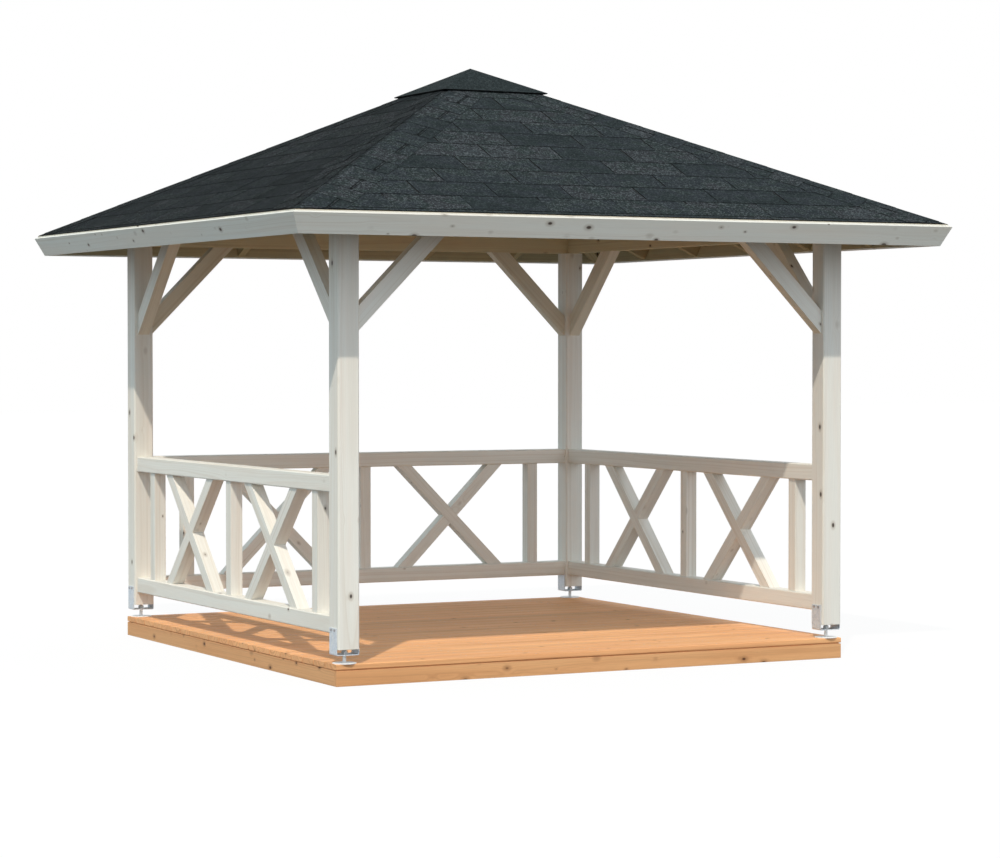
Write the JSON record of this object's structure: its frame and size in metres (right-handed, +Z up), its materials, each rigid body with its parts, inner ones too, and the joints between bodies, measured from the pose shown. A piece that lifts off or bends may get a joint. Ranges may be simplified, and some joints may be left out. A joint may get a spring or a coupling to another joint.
{
  "type": "garden gazebo",
  "caption": "Square open timber garden gazebo on a low deck, with cross-braced railings on three sides, knee braces and a hipped shingle roof with a cap.",
  "frame": {"origin": "on the ground, under the middle of the deck", "axes": "+X to the right along the open front, +Y towards the back railing, +Z up"},
  "size_m": [3.933, 3.958, 3.3402],
  "materials": {
    "white_timber": "white-glazed planed spruce with small knots",
    "roof_timber": "white-glazed planed spruce boards and rafters",
    "deck_timber": "oiled orange-brown deck boards",
    "galvanised_steel": "galvanised",
    "roof_shingle": "anthracite mineral-faced bitumen shingles"
  },
  "bodies": {
    "root": {"deck_joists": "deck_timber", "deck_boards": "deck_timber", "deck_side_front": "deck_timber", "deck_side_right": "deck_timber", "deck_side_back": "deck_timber", "deck_side_left": "deck_timber", "post_anchors": "galvanised_steel", "post_front_left": "white_timber", "post_front_right": "white_timber", "post_back_left": "white_timber", "post_back_right": "white_timber", "rails_right": "white_timber", "rails_back": "white_timber", "rails_left": "white_timber", "balusters_right": "white_timber", "balusters_back": "white_timber", "balusters_left": "white_timber", "crosses_right": "white_timber", "crosses_back": "white_timber", "crosses_left": "white_timber", "beam_front": "white_timber", "beam_right": "white_timber", "beam_back": "white_timber", "beam_left": "white_timber", "braces_front": "white_timber", "braces_right": "white_timber", "braces_back": "white_timber", "braces_left": "white_timber", "hip_rafters": "roof_timber", "rafters": "roof_timber", "roof_hub": "roof_timber", "boarding_front": "roof_timber", "boarding_right": "roof_timber", "boarding_back": "roof_timber", "boarding_left": "roof_timber", "fascia_front": "white_timber", "fascia_right": "white_timber", "fascia_back": "white_timber", "fascia_left": "white_timber", "covering_front": "roof_shingle", "covering_right": "roof_shingle", "covering_back": "roof_shingle", "covering_left": "roof_shingle", "roof_cap": "roof_shingle"}
  },
  "joints": []
}
